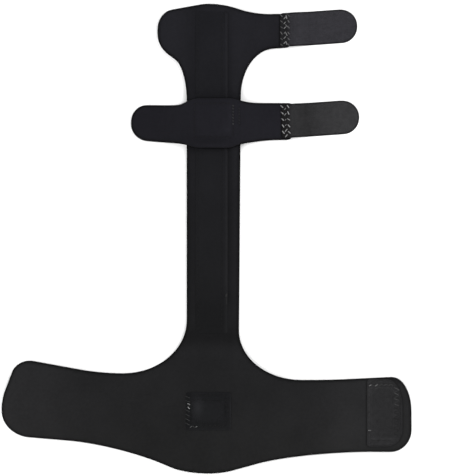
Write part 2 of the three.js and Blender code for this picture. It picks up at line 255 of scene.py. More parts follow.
def smooth_step(share):
    """The smooth S from 0 to 1."""
    share = np.clip(share, 0, 1)
    return share * share * (3 - 2 * share)


def spine_share(x):
    """1 over the spine and 0 beside it, with a smooth S between."""
    return 1 - smooth_step((np.abs(x - SLEEVE_MIDDLE) - SPINE_HALF) / SPINE_FADE)


def swells(x, y, depth):
    """The mean of a few long sine waves that run in different directions."""
    waves = [
        np.sin(TURN * (x * math.cos(s.direction) + y * math.sin(s.direction)) / s.length + s.phase)
        for s in SWELLS
    ]
    return depth * np.mean(waves, axis=0)


def path_distance(x, y, path):
    """Each point's distance to a path, the least of those to its straight pieces, and the length
    along the path to its nearest point."""
    start, step = path[:-1], np.diff(path, axis=0)
    size = (step**2).sum(axis=1)
    away_x, away_y = x[..., None] - start[:, 0], y[..., None] - start[:, 1]
    share = np.clip((away_x * step[:, 0] + away_y * step[:, 1]) / size, 0, 1)
    gap = np.hypot(away_x - share * step[:, 0], away_y - share * step[:, 1])
    nearest = gap.argmin(axis=-1)[..., None]
    along = lengths_along(path)[:-1] + share * np.sqrt(size)
    return (
        np.take_along_axis(gap, nearest, -1)[..., 0],
        np.take_along_axis(along, nearest, -1)[..., 0],
    )


def seam_dip(x, y, seams):
    """How far seams pull a surface down: each seam's sink times a bell curve of the distance
    from its sewn width, a little deeper at each needle hole. The deepest pull counts."""
    dip = np.zeros(np.shape(x))
    for seam in seams:
        gap, along = path_distance(x, y, seam.path)
        beside = np.maximum(gap - seam.width / 2, 0) / SEAM_SPREAD
        holes = 1 - SEAM_PUCKER * (0.5 - 0.5 * np.cos(TURN * along / seam.pitch))
        dip = np.maximum(dip, seam.sink * holes * np.exp(-(beside**2)))
    return dip


def cloth_shade(x, y, from_rim, marks):
    """A cloth's painted light and shade, as its brightness against its own colour: one plus its soft
    spots, each a bell curve of x and y, less near the rim by painted shade, a bell curve of the
    distance from it, and less in the grooves of seams by painted shade, by their depth."""
    shade = np.ones(np.shape(x))
    for spot in marks.spots:
        away = ((x - spot.x) / spot.reach_x) ** 2 + ((y - spot.y) / spot.reach_y) ** 2
        shade += spot.gain * np.exp(-away)
    depth = marks.rim.depth * (1 - marks.rim.calm * spine_share(x))
    rim_shade = 1 - depth * np.exp(-((from_rim / marks.rim.reach) ** 2))
    return shade * rim_shade * (1 - GROOVE_PAINTED_SHADE * seam_dip(x, y, marks.seams))


# Large multiples, so that places close together have numbers far apart
SCATTER_GAIN = 43.7
SCATTER_X = 127.1
SCATTER_Y = 311.7


def scattered(x, y):
    """A number from 0 to 1 for each place, with no order to be seen in it: what is left after the
    point of a large multiple of a sine of the place."""
    wave = SCATTER_GAIN * np.sin(x / MM * SCATTER_X + y / MM * SCATTER_Y)
    return wave - np.floor(wave)


# Making meshes


def mesh_object(name, points, faces, materials, finishes=None, shade=None):
    """An object from an array of points and a list of arrays of faces, each with its own count
    of corners. finishes gives each face's material, and shade each point's brightness."""
    corners = np.concatenate([f.ravel() for f in faces])
    totals = np.concatenate([np.full(len(f), f.shape[1]) for f in faces])
    mesh = bpy.data.meshes.new(name)
    mesh.vertices.add(len(points))
    mesh.vertices.foreach_set("co", np.ascontiguousarray(points, float).ravel())
    mesh.loops.add(len(corners))
    mesh.polygons.add(len(totals))
    mesh.polygons.foreach_set("loop_start", np.cumsum(totals) - totals)
    mesh.polygons.foreach_set("vertices", corners)
    mesh.polygons.foreach_set("use_smooth", np.ones(len(totals), bool))
    for material in materials:
        mesh.materials.append(material)
    if finishes is not None:
        mesh.polygons.foreach_set("material_index", finishes)
    if shade is not None:
        keep_values(mesh, "shade", shade)
    mesh.update(calc_edges=True)
    mesh.validate()
    piece = bpy.data.objects.new(name, mesh)
    bpy.context.scene.collection.objects.link(piece)
    return piece


def keep_values(mesh, name, values):
    """Keeps one number for each of a mesh's points under a name that materials can read."""
    kept = mesh.attributes.new(name, "FLOAT", "POINT")
    kept.data.foreach_set("value", np.ascontiguousarray(values, np.float32).ravel())


def grid_quads(rows, columns, wrap_rows=False, wrap_columns=False):
    """The four-cornered faces of a grid of points, row by row, which may close on itself."""
    i = np.arange(rows if wrap_rows else rows - 1)[:, None]
    j = np.arange(columns if wrap_columns else columns - 1)[None, :]
    below = i * columns
    above = (i + 1) % rows * columns
    after = (j + 1) % columns
    quads = np.stack([below + j, above + j, above + after, below + after], axis=-1)
    return quads.reshape(-1, 4)


def in_blocks(test, points, others):
    """A test of many points against many others, made on a block of points at a time."""
    blocks = np.array_split(points, max(1, len(points) // BLOCK))
    return np.concatenate([test(block, others) for block in blocks])


def inside_loop(points, loop):
    """True for points that a ray to the right leaves through an odd number of the loop's edges."""
    ends = np.roll(loop, -1, axis=0)
    x, y = points[:, :1], points[:, 1:]
    crosses = (loop[:, 1] > y) != (ends[:, 1] > y)
    rise = np.where(ends[:, 1] == loop[:, 1], 1, ends[:, 1] - loop[:, 1])
    at = loop[:, 0] + (ends[:, 0] - loop[:, 0]) * (y - loop[:, 1]) / rise
    return (crosses & (x < at)).sum(axis=1) % 2 == 1


def loop_distance(points, loop):
    """Each point's distance to the nearest point of a loop."""
    return np.sqrt(((points[:, None] - loop[None]) ** 2).sum(-1).min(axis=1))


def row_spacing(pitch):
    """The distance between the rows of a staggered grid of equal triangles."""
    return pitch * math.sqrt(3) / 2


def staggered_points(loop, pitch, clear):
    """Points of a staggered grid that lie inside a loop and at least clear from it."""
    low, high = loop.min(axis=0), loop.max(axis=0)
    x, y = np.meshgrid(
        np.arange(low[0], high[0], pitch), np.arange(low[1], high[1], row_spacing(pitch))
    )
    x[1::2] += pitch / 2
    points = np.column_stack([x.ravel(), y.ravel()])
    points = points[in_blocks(inside_loop, points, loop)]
    return points[in_blocks(loop_distance, points, loop) > clear]


def filled_loop(loop, pitch):
    """Points of a staggered grid inside a loop, and triangles that fill it, facing up, with the
    loop's own points numbered first."""
    inner = staggered_points(loop, pitch, RIM_CLEAR * pitch)
    points = np.vstack([loop, inner])
    border = list(range(len(loop)))
    filled = delaunay_2d_cdt(points.tolist(), [], [border], INSIDE_ONLY, SAME_POINT)
    triangles = np.array(filled[2])
    a, b, c = (points[triangles[:, i]] for i in range(3))
    turned = np.cross(b - a, c - a) < 0
    triangles[turned] = triangles[turned][:, ::-1]
    return inner, triangles


def soft_sheet(name, loop, low, high, edge, pitch, materials, marks):
    """A closed sheet. Its rim is the edge profile carried along the outline: a line lies in by
    its inset and up by its share of the thickness there. Its top and underside are the heights
    high(x, y) and low(x, y) on a staggered grid inside the rim."""
    inset = np.array([line.inset for line in edge])
    level = np.array([line.level for line in edge])
    plan = loop[:, None] - outward(loop)[:, None] * inset[None, :, None]
    x, y = plan[..., 0], plan[..., 1]
    bottom = low(x, y)
    rim = np.stack([x, y, bottom + (high(x, y) - bottom) * level], axis=-1)
    count, lines = rim.shape[:2]
    inner, triangles = filled_loop(plan[:, -1], pitch)
    x, y = inner.T
    points = np.vstack(
        [rim.reshape(-1, 3), np.column_stack([x, y, high(x, y)]), np.column_stack([x, y, low(x, y)])]
    )
    ring = np.arange(count) * lines
    body = count * lines + np.arange(len(inner))
    top = np.concatenate([ring + lines - 1, body])[triangles]
    under = np.concatenate([ring, body + len(inner)])[triangles][:, ::-1]
    rim_quads = grid_quads(count, lines, wrap_rows=True)
    strip = np.tile([line.finish for line in edge[:-1]], count)
    finishes = np.concatenate([strip, np.full(len(top) + len(under), FACE)])
    # The painted light and shade at each point
    from_rim = in_blocks(loop_distance, points[:, :2], loop)
    shade = cloth_shade(points[:, 0], points[:, 1], from_rim, marks)
    return mesh_object(name, points, [rim_quads, top, under], materials, finishes, shade)


COVER_BUNCH = 1.2  # radians of the sine that bunches the columns
COVER_ROUND = 0.35 * MM
COVER_RIM = 0.3  # the share of its thickness that a cover keeps at its rim
SLEEVE_CORNER = 1.4 * MM
SLEEVE_COLUMNS = 61
SLEEVE_ROWS = 401
SQUARE_CORNER = 1.2 * MM
SQUARE_COLUMNS = 85
SQUARE_ROWS = 71


def sewn_cover(name, low_corner, high_corner, corner, columns, rows, low, high, material, marks):
    """A closed cover sewn down all round, as a grid of two parameters. u goes across, with its
    columns closer together at the sides by a sine, and v goes along. Both ends narrow by a
    quarter circle for round corners. The top is high(x, y), rounded down to the underside
    low(x, y) near the rim by a quarter ellipse of the distance from it."""
    u = np.sin(COVER_BUNCH * np.linspace(-1, 1, columns)) / math.sin(COVER_BUNCH)
    y = np.linspace(low_corner.y, high_corner.y, rows)
    from_end = np.clip(np.minimum(y - y[0], y[-1] - y) / corner, 0, 1)
    half = (high_corner.x - low_corner.x) / 2
    reach = half - corner * (1 - np.sqrt(1 - (1 - from_end) ** 2))
    x = (low_corner.x + high_corner.x) / 2 + reach[:, None] * u[None]
    y = np.broadcast_to(y[:, None], x.shape)
    from_rim = np.minimum(
        np.minimum(y - y[0, 0], y[-1, 0] - y), reach[:, None] * (1 - np.abs(u))[None]
    )
    share = np.clip(from_rim / COVER_ROUND, 0, 1)
    level = COVER_RIM + (1 - COVER_RIM) * np.sqrt(1 - (1 - share) ** 2)
    bottom = low(x, y)
    top = bottom + (high(x, y) - bottom) * level
    upper = np.dstack([x, y, top])
    lower = np.dstack([x, y, bottom])[:, ::-1]
    points = np.concatenate([upper, lower], axis=1).reshape(-1, 3)
    across = 2 * columns
    around = grid_quads(rows, across, wrap_columns=True)
    j = np.arange(columns - 1)
    first = np.column_stack([j, across - 1 - j, across - 2 - j, j + 1])
    last = first[:, ::-1] + (rows - 1) * across
    faces = [around[:, ::-1], first[:, ::-1], last[:, ::-1]]
    # The painted light and shade at each point
    from_rim = np.concatenate([from_rim, from_rim[:, ::-1]], axis=1).ravel()
    shade = cloth_shade(points[:, 0], points[:, 1], from_rim, marks)
    return mesh_object(name, points, faces, [material], shade=shade)


# Sewing

# A row of sewing along one side of a piece's box, in millimetres: how far it lies in from that
# side, and how far it stops short of the box's top or left end, and of its bottom or right end.
# A lean moves its far end further from that side.
Row = namedtuple(
    "Row", "side inset before after kind pitch width thread tone back sink lean", defaults=[0]
)
PATH_STEP = 2.0 * MM


def row_path(low, high, row):
    """The straight path of a row in a piece's box."""
    before, after = row.before * MM, row.after * MM
    insets = row.inset * MM, (row.inset + row.lean) * MM
    if row.side in ("left", "right"):
        start, end = [low.x + i if row.side == "left" else high.x - i for i in insets]
        ends = [(start, high.y - before), (end, low.y + after)]
    else:
        start, end = [low.y + i if row.side == "bottom" else high.y - i for i in insets]
        ends = [(low.x + before, start), (high.x - after, end)]
    return even_points(ends, PATH_STEP)


def sewn(low, high, rows):
    """The seams of a table of rows in a piece's box."""
    return [
        Seam(
            row_path(low, high, row), row.kind, row.pitch * MM, row.width * MM, row.thread * MM,
            row.tone, row.back, row.sink * MM,
        )
        for row in rows
    ]


# A row of black stitches down the sleeve's left side, and beside its rolled right side, where
# the thread ends in a knot and a loose tail
SLEEVE_SEAMS = sewn(SLEEVE_LOW, SLEEVE_HIGH, [
    Row("left", 1.3, 1.3, 1.3, "run", 2.4, 0, 0.24, BLACK, BLACK, 0.08),
    Row("right", 2.9, 1.3, 1.3, "run", 2.4, 0, 0.24, BLACK, BLACK, 0.12),
])
SLEEVE_TAILS = sewn(SLEEVE_LOW, SLEEVE_HIGH, [
    Row("right", 0.6, 145.4, 18.9, "run", 3.0, 0, 1.0, KNOT, KNOT, 0),
    Row("right", 0.5, 147.0, 13.6, "run", 6.0, 0, 0.35, KNOT, KNOT, 0),
])

# Columns of zigzag side by side across a tab's sewn end, the first over its raw edge
TOP_TAB_SEAMS = sewn(TOP_TAB_LOW, TOP_TAB_HIGH, [
    Row("left", 0.7, 2.5, 0.3, "zigzag", 3.1, 1.5, 0.36, GREY, BLACK, 0.4),
    Row("left", 2.5, 2.5, 0.3, "zigzag", 2.6, 1.3, 0.38, BLACK, PALE, 0.4),
    Row("left", 3.3, 2.9, 0.9, "zigzag", 4.4, 1.0, 0.42, PALE, BLACK, 0.4),
    Row("left", 4.4, 2.5, 0.3, "zigzag", 3.1, 1.4, 0.36, GREY, BLACK, 0.4),
])
MIDDLE_TAB_SEAMS = sewn(MIDDLE_TAB_LOW, MIDDLE_TAB_HIGH, [
    Row("left", -0.1, 2.2, 0.4, "zigzag", 3.2, 1.5, 0.5, LIGHT, BLACK, 0.4, 1.0),
    Row("left", 1.5, 2.2, 0.4, "zigzag", 2.7, 1.1, 0.46, BLACK, PALE, 0.4, 0.8),
    Row("left", 3.1, 2.2, 0.4, "zigzag", 3.3, 1.4, 0.5, LIGHT, BLACK, 0.4, 0.8),
])

# The box that holds the strap to the spine is black, but for its right side, whose stitches are
# grey, partly the thread's own grey and partly painted glints
STRAP_SEAMS = sewn(STRAP_LOW, STRAP_HIGH, [
    Row("left", 32.7, 2.9, 5.8, "run", 2.3, 0, 0.26, BLACK, BLACK, 0.2),
    Row("top", 2.9, 32.7, 30.5, "run", 2.3, 0, 0.26, BLACK, BLACK, 0.12),
    Row("bottom", 5.6, 32.7, 30.5, "run", 2.3, 0, 0.26, BLACK, BLACK, 0.2),
    Row("right", 30.5, 3.7, 12.0, "zigzag", 1.55, 0.3, 0.34, DULL, BLACK, 0.25),
    Row("right", 30.5, 14.3, 5.8, "run", 1.55, 0, 0.26, BLACK, BLACK, 0.2),
    Row("right", 27.4, 5.0, 12.5, "zigzag", 1.55, 0.2, 0.28, DARK, BLACK, 0.3),
])

# Black stitches round the square, doubled at its top and right, and a zigzag over its left edge
# with a few stitches of the light thread drawn up
SQUARE_SEAMS = sewn(SQUARE_LOW, SQUARE_HIGH, [
    Row("left", 0.8, 2.0, 14.4, "zigzag", 2.4, 3.0, 0.3, DARK, BLACK, 0.4),
    Row("left", 1.4, 5.6, 11.0, "zigzag", 1.9, 1.5, 0.42, LIGHT, DARK, 0.4),
    Row("left", 0.8, 9.0, 2.6, "zigzag", 2.4, 3.0, 0.3, DARK, BLACK, 0.4),
    Row("bottom", 1.8, 1.9, 17.2, "zigzag", 2.7, 0.9, 0.34, GREY, DARK, 0.4),
    Row("bottom", 2.2, 6.6, 2.6, "zigzag", 2.4, 1.9, 0.3, BLACK, BLACK, 0.3),
    Row("right", 2.9, 3.1, 2.6, "run", 2.4, 0, 0.24, BLACK, BLACK, 0.35),
    Row("right", 1.5, 3.1, 2.6, "run", 2.4, 0, 0.24, BLACK, BLACK, 0.25),
    Row("top", 1.5, 2.0, 2.6, "run", 2.4, 0, 0.24, BLACK, BLACK, 0.25),
    Row("top", 3.8, 3.1, 2.6, "run", 2.4, 0, 0.24, BLACK, BLACK, 0.2),
])

# The hook patch's border, with light thread showing at its upper left
PATCH_SEAMS = sewn(PATCH_LOW, PATCH_HIGH, [
    Row("top", 2.9, 0.8, 12.6, "zigzag", 2.8, 1.0, 0.42, PALE, DARK, 0.3),
    Row("top", 2.7, 6.2, 4.6, "zigzag", 2.6, 0.9, 0.32, DULL, DARK, 0.3),
    Row("right", 3.0, 3.9, 20.7, "zigzag", 2.84, 3.4, 0.3, DULL, DARK, 0.3),
    Row("right", 3.0, 14.2, 5.2, "zigzag", 2.84, 3.4, 0.3, BLACK, BLACK, 0.3),
    Row("bottom", 2.9, 2.1, 4.1, "run", 2.6, 0, 0.3, BLACK, BLACK, 0.3),
    Row("left", 1.0, 3.9, 3.1, "run", 2.6, 0, 0.3, DARK, DARK, 0.1),
    Row("bottom", 8.2, 0.5, 16.2, "zigzag", 1.2, 0.4, 0.4, PALE, PALE, 0.1),
])

# The pieces' upper and lower faces

PANEL_SEAMS = [*SLEEVE_SEAMS, *TOP_TAB_SEAMS, *STRAP_SEAMS, *SQUARE_SEAMS, *PATCH_SEAMS]


def floor_level(x, y):
    """The floor that the splint lies on."""
    return np.zeros(np.shape(x))


def panel_top(x, y):
    """The panel's thickness, with slow swells, pulled down where it is sewn."""
    return PANEL_HIGH.z + swells(x, y, PANEL_SWELL) - seam_dip(x, y, PANEL_SEAMS)


def over_panel(x, y):
    """Just clear of the panel's upper face."""
    return panel_top(x, y) + LAYER_CLEAR


SLEEVE_RAMP = 14.0 * MM
SLEEVE_SIDE = 0.35 * MM
SLEEVE_TIP_SHARE = 0.35  # the share of its sides' height that is left at its two ends
BEAD_RADIUS = 0.8 * MM
BEAD_HEIGHT = 0.8 * MM
BEAD_JOIN = 0.25  # where arch and bead meet, the share of the lower that the higher gains
BEAD_STOP = 14.2 * MM  # the sleeve's lower end to where the bead has run out
BEAD_FADE = 5.0 * MM


def sleeve_top(x, y):
    """A low arch over the stay, a parabola across, thin at its left side and with a long S down
    at both ends. Its right side is rolled into a bead, a half ellipse across, that runs out above
    the lower end."""
    share = np.abs(x - SLEEVE_MIDDLE) / SLEEVE_HALF
    arch = 1 - np.clip(share, 0, 1) ** 2
    from_end = np.minimum(y - SLEEVE_LOW.y, SLEEVE_HIGH.y - y)
    slope = smooth_step(from_end / SLEEVE_RAMP)
    crown = (SLEEVE_HIGH.z - PANEL_HIGH.z - LAYER_GAP - SLEEVE_SIDE) * arch * slope
    from_bead = np.clip((x - SLEEVE_HIGH.x + BEAD_RADIUS) / BEAD_RADIUS, -1, 1)
    runs_out = smooth_step((y - SLEEVE_LOW.y - BEAD_STOP) / BEAD_FADE)
    bead = BEAD_HEIGHT * np.sqrt(1 - from_bead**2) * runs_out
    lift = np.maximum(crown, bead) + BEAD_JOIN * np.minimum(crown, bead)
    side = SLEEVE_SIDE * (SLEEVE_TIP_SHARE + (1 - SLEEVE_TIP_SHARE) * slope)
    level = PANEL_HIGH.z + swells(x, y, PANEL_SWELL) + side
    return level + lift - seam_dip(x, y, SLEEVE_SEAMS)


strap_under_bend = bend_of("middle_strap", -1)
strap_top_bend = bend_of("middle_strap", 1)
CREASE_SPREAD = 0.55 * MM
CREASE_DEPTH = 0.25 * MM
CREASE_REACH = 1.5  # half widths of the sleeve from its middle to where a crease ends
CREASES = [STRAP_LOW.y + 4.6 * MM, STRAP_LOW.y + 3.0 * MM]


def strap_low(x, y):
    """Just clear of what the strap passes over, whose swells it follows, and on the floor at its
    ends."""
    lift = LAYER_CLEAR - LAYER_GAP + swells(x, y, PANEL_SWELL) * spine_share(x)
    return np.maximum(strap_under_bend(x) + lift, 0)


def strap_top(x, y):
    """The strap's bend over the spine, with slow swells, pulled down at its seams, and two
    creases below the sewn box that fade out towards its sides."""
    fade = smooth_step(CREASE_REACH - np.abs(x - SLEEVE_MIDDLE) / SLEEVE_HALF)
    crease = sum(np.exp(-(((y - level) / CREASE_SPREAD) ** 2)) for level in CREASES)
    dip = seam_dip(x, y, STRAP_SEAMS + MIDDLE_TAB_SEAMS) + CREASE_DEPTH * crease * fade
    return strap_top_bend(x) + swells(x, y, STRAP_SWELL) - dip


def tape_on_end(node, low_corner, under):
    """The underside and top of a tape whose first stretch lies on a neoprene end, at the height
    under(x, y), and which then follows the bend read from the frame down to the floor."""
    bend = bend_of(node, -1)
    seat_end = low_corner.x + TAB_SEAT

    def low(x, y):
        leaving = smooth_step((x - seat_end) / TAB_SEAT)
        seated = under(np.minimum(x, seat_end), y) + LAYER_CLEAR
        free = np.maximum(bend(x) - LAYER_GAP + LAYER_CLEAR, 0)
        return seated + (free - seated) * leaving

    def high(x, y):
        return low(x, y) + TAPE_THICKNESS

    return low, high


def patch_top(x, y):
    """A tape's thickness above its underside."""
    return over_panel(x, y) + TAPE_THICKNESS


SQUARE_SLACK = 0.4 * MM  # how far the sewn square lies below its full thickness
SQUARE_EDGE = 0.35 * MM
SQUARE_SLOPE = 1.8 * MM
SQUARE_PUFF = 0.5 * MM
SQUARE_EVEN = 0.4  # the share of the puff that doesn't fade away from the bulge
SQUARE_BULGE = (SQUARE_LOW.x + 7.0 * MM, SQUARE_HIGH.y - 8.0 * MM)
SQUARE_BULGE_REACH = 7.0 * MM


def square_top(x, y):
    """The square's thickness with a soft puff, and an S down to its thin edge. The puff falls to
    the sides by a fourth power, and is fullest left of the middle, by a bell curve of the
    distance from there."""
    middle_x, middle_y = (SQUARE_LOW.x + SQUARE_HIGH.x) / 2, (SQUARE_LOW.y + SQUARE_HIGH.y) / 2
    half_x, half_y = (SQUARE_HIGH.x - SQUARE_LOW.x) / 2, (SQUARE_HIGH.y - SQUARE_LOW.y) / 2
    across = np.clip(np.abs(x - middle_x) / half_x, 0, 1)
    up = np.clip(np.abs(y - middle_y) / half_y, 0, 1)
    away = np.hypot(x - SQUARE_BULGE[0], y - SQUARE_BULGE[1]) / SQUARE_BULGE_REACH
    fullness = SQUARE_EVEN + (1 - SQUARE_EVEN) * np.exp(-(away**2))
    puff = (1 - across**4) * (1 - up**4) * fullness
    from_side = np.minimum(half_x - np.abs(x - middle_x), half_y - np.abs(y - middle_y))
    full = SQUARE_HIGH.z - SQUARE_LOW.z - SQUARE_SLACK
    thickness = SQUARE_EDGE + (full - SQUARE_EDGE) * smooth_step(from_side / SQUARE_SLOPE)
    level = PANEL_HIGH.z + swells(x, y, PANEL_SWELL) + thickness
    return level + SQUARE_PUFF * puff - seam_dip(x, y, SQUARE_SEAMS)


EDGE_STEP = 0.5 * MM


def over_left_edge(edge_x, beside, on_top):
    """A height for stitches over a raw edge: on_top(x, y) right of the edge and beside(x, y) left
    of it, with a smooth S between them."""

    def height(x, y):
        share = smooth_step((x - edge_x) / EDGE_STEP + 0.5)
        lower = beside(x, y)
        return lower + (on_top(x, y) - lower) * share

    return height


# Thread

STITCH_STEPS = 7
STITCH_SIDES = 6
STITCH_SHARE = 0.86  # the share of its pitch that a run's stitch covers
STITCH_SWAY = 1.0  # how far its ends sway from stitch to stitch, in threads
STITCH_SWELL = 0.3  # how much its thickness varies
STITCH_FADE = 0.25  # how much its tone varies
STITCH_ARCH = 0.6  # the power that makes a sine into its flatter arch
STITCH_LIFT = 0.3  # how many radii its middle lies above the cloth
STITCH_DIVE = 2.2  # how many radii its ends dip below its middle
STITCH_TIP = 0.55  # the share of its thickness at its ends


def tube_faces(count, steps, sides):
    """The sides and the two caps of many alike tubes, one after another."""
    size = steps * sides
    offsets = (np.arange(count) * size)[:, None, None]
    quads = grid_quads(steps, sides, wrap_columns=True)
    walls = (quads[None, :, ::-1] + offsets).reshape(-1, 4)
    first = np.arange(sides)
    last = size - sides + first[::-1]
    caps = (np.stack([first, last])[None] + offsets).reshape(-1, sides)
    return [walls, caps]


def stitch_ends(seam):
    """The plan of each stitch's two ends. A run's stitches follow each other with a short gap,
    and a zigzag's go from one side of its width to the other."""
    line = even_points(seam.path, seam.pitch / 2)
    along = np.gradient(line, axis=0)
    along /= np.linalg.norm(along, axis=1, keepdims=True)
    aside = np.column_stack([-along[:, 1], along[:, 0]])
    if seam.kind == "zigzag":
        way = np.where(np.arange(len(line)) % 2, 1, -1)[:, None]
        turns = line + aside * (seam.width / 2) * way
        return turns[:-1], turns[1:]
    starts, ends = line[:-2:2], line[2::2]
    return starts, starts + STITCH_SHARE * (ends - starts)


def stitches(name, seams, height, material):
    """Thread sewn along seams: each stitch is a tube from end to end on an arch, which is a sine
    to a low power, so that its two ends dip into the cloth. It sways, swells and changes its tone
    a little from stitch to stitch. The thread's tone is kept as an attribute."""
    plans, radii, tones = [], [], []
    for seam in seams:
        start, end = stitch_ends(seam)
        uneven = scattered(*start.T) - 0.5
        sway = STITCH_SWAY * seam.thread * uneven[:, None]
        share = np.linspace(0, 1, STITCH_STEPS)[None, :, None]
        plans.append((start + sway)[:, None] * (1 - share) + (end - sway)[:, None] * share)
        radii.append(seam.thread / 2 * (1 + STITCH_SWELL * uneven))
        tone = np.where(np.arange(len(start)) % 2, seam.back, seam.tone)
        tones.append(tone * (1 + STITCH_FADE * uneven))
    plan, radius, tone = np.concatenate(plans), np.concatenate(radii), np.concatenate(tones)
    arch = np.sin(math.pi * np.linspace(0, 1, STITCH_STEPS)) ** STITCH_ARCH
    lift = radius[:, None] * (STITCH_LIFT - STITCH_DIVE * (1 - arch)[None])
    centre = np.dstack([plan, height(plan[..., 0], plan[..., 1]) + lift])
    along = np.gradient(centre, axis=1)
    along /= np.linalg.norm(along, axis=2, keepdims=True)
    aside = np.cross(along, [0, 0, 1])
    aside /= np.linalg.norm(aside, axis=2, keepdims=True)
    above = np.cross(aside, along)
    angle = TURN * np.arange(STITCH_SIDES) / STITCH_SIDES
    wide = np.minimum(1, STITCH_TIP + arch)[None, :, None, None] * radius[:, None, None, None]
    ring = (
        np.cos(angle)[None, None, :, None] * aside[:, :, None]
        + np.sin(angle)[None, None, :, None] * above[:, :, None]
    )
    points = centre[:, :, None] + wide * ring
    size = STITCH_STEPS * STITCH_SIDES
    faces = tube_faces(len(points), STITCH_STEPS, STITCH_SIDES)
    piece = mesh_object(name, points.reshape(-1, 3), faces, [material])
    keep_values(piece.data, "tone", np.repeat(tone, size))
    return piece


# Hooks

HOOK_PITCH = 0.62 * MM
HOOK_WIRE = 0.075 * MM
HOOK_HEIGHT = 0.62 * MM
HOOK_REACH = 0.34 * MM
HOOK_SIDES = 4
HOOK_MARGIN = 0.9 * MM
HOOK_CLEAR = 1.1 * MM  # from a border seam to the nearest hooks
HOOK_TURN = 0.9  # radians over which the hooks of a row turn
HOOK_LOWEST = 0.85  # the share of its height that the lowest hook has
HOOK_VARIES = 0.3  # how much that share varies
# The hook's line, from its foot to its tip: forward and up as shares of its reach and height,
# and the wire's thickness as a share of its own
HookPoint = namedtuple("HookPoint", "forward up thick")
HOOK_LINE = [
    HookPoint(0, -0.15, 1.5),
    HookPoint(0, 0.55, 1.1),
    HookPoint(0.22, 0.9, 1.0),
    HookPoint(0.7, 1.0, 1.0),
    HookPoint(1.0, 0.72, 0.7),
]


def hook_field(name, loop, height, keep, material, marks):
    """A field of small bent hooks inside a loop: each is a thin wire that rises and bends over
    forwards, in rows that face opposite ways. Its turn and height vary a little from hook to
    hook."""
    places = staggered_points(loop, HOOK_PITCH, HOOK_MARGIN)
    places = places[keep(places[:, 0], places[:, 1])]
    scatter = scattered(*places.T)
    row = np.round(places[:, 1] / row_spacing(HOOK_PITCH))
    facing = (row % 2) * math.pi + (scatter - 0.5) * HOOK_TURN
    forward, up, thick = np.array(HOOK_LINE).T
    reach = HOOK_REACH * forward[None]
    rise = HOOK_HEIGHT * (HOOK_LOWEST + HOOK_VARIES * scatter)[:, None] * up[None]
    ahead = np.column_stack([np.cos(facing), np.sin(facing)])
    aside = np.column_stack([-ahead[:, 1], ahead[:, 0]])
    base = height(places[:, 0], places[:, 1])
    line_plan = places[:, None] + ahead[:, None] * reach[..., None]
    line = np.dstack([line_plan, base[:, None] + rise])
    slope = np.gradient(np.column_stack([forward * HOOK_REACH, up * HOOK_HEIGHT]), axis=0)
    slope /= np.linalg.norm(slope, axis=1, keepdims=True)
    angle = TURN * (np.arange(HOOK_SIDES) + 0.5) / HOOK_SIDES
    across = HOOK_WIRE * thick[:, None] * np.cos(angle)[None]
    over = HOOK_WIRE * thick[:, None] * np.sin(angle)[None]
    plan_shift = (
        aside[:, None, None] * across[None, :, :, None]
        - ahead[:, None, None] * (over * slope[:, 1:])[None, :, :, None]
    )
    rise_shift = np.broadcast_to((over * slope[:, :1])[None], plan_shift.shape[:3])
    points = line[:, :, None] + np.concatenate([plan_shift, rise_shift[..., None]], axis=-1)
    faces = tube_faces(len(places), len(HOOK_LINE), HOOK_SIDES)
    # The hooks take the tape's painted light and shade, with its rim's painted shade at their margin
    shade = cloth_shade(places[:, 0], places[:, 1], np.full(len(places), HOOK_MARGIN), marks)
    shade = np.repeat(shade, len(HOOK_LINE) * HOOK_SIDES)
    return mesh_object(name, points.reshape(-1, 3), faces, [material], shade=shade)


# Filling out the padded square

CLOTH_SCALE = 20  # the trial is this much larger, because Blender's cloth is made for metres
CLOTH_FRAMES = 20
CLOTH_EASE = -0.06  # cut this share larger than the pad
SQUARE_PRESSURE = 4.0
SQUARE_GIVE = 0.45 * MM  # the furthest that one of its points moves
SQUARE_HELD_SIDE = 2.0 * MM  # nothing moves this close to its sides
SQUARE_HELD_SEAM = 0.6 * MM  # nor this close to its stitches


def free_to_swell(piece):
    """True for the points of the padded square that may move: those of its upper face, away from
    its sides and its seams."""
    x, y, z = mesh_points(piece.data).T
    sides = [x - SQUARE_LOW.x, SQUARE_HIGH.x - x, y - SQUARE_LOW.y, SQUARE_HIGH.y - y]
    seams = [path_distance(x, y, seam.path)[0] - seam.width / 2 for seam in SQUARE_SEAMS]
    inside = np.min(sides, axis=0) > SQUARE_HELD_SIDE
    between = np.min(seams, axis=0) > SQUARE_HELD_SEAM
    return inside & between & (z - over_panel(x, y) > SQUARE_EDGE)


def fill_out(piece, free, pressure, most):
    """Swells a sewn pad with Blender's cloth: a larger copy is blown up by a light pressure for
    a few frames, with gravity off and its sewn points held, and each free point moves as it did
    there, but no further than most."""
    mesh = piece.data
    start = mesh_points(mesh)
    trial = bpy.data.objects.new(piece.name + "_trial", mesh.copy())
    trial.data.vertices.foreach_set("co", (start * CLOTH_SCALE).ravel())
    bpy.context.scene.collection.objects.link(trial)
    held = trial.vertex_groups.new(name="held")
    held.add(np.flatnonzero(~free).tolist(), 1.0, "REPLACE")
    cloth = trial.modifiers.new("cloth", "CLOTH")
    cloth.settings.vertex_group_mass = "held"
    cloth.settings.use_pressure = True
    cloth.settings.uniform_pressure_force = pressure
    cloth.settings.effector_weights.gravity = 0
    cloth.settings.shrink_min = CLOTH_EASE
    cloth.point_cache.frame_end = CLOTH_FRAMES
    for number in range(1, CLOTH_FRAMES + 1):
        bpy.context.scene.frame_set(number)
    swollen = trial.evaluated_get(bpy.context.evaluated_depsgraph_get())
    move = mesh_points(swollen.data) / CLOTH_SCALE - start
    length = np.linalg.norm(move, axis=1, keepdims=True)
    move *= np.minimum(1, most / np.maximum(length, WELD))
    mesh.vertices.foreach_set("co", (start + move).ravel())
    mesh.update()
    bpy.data.meshes.remove(trial.data)
    bpy.context.scene.frame_set(1)


# Materials

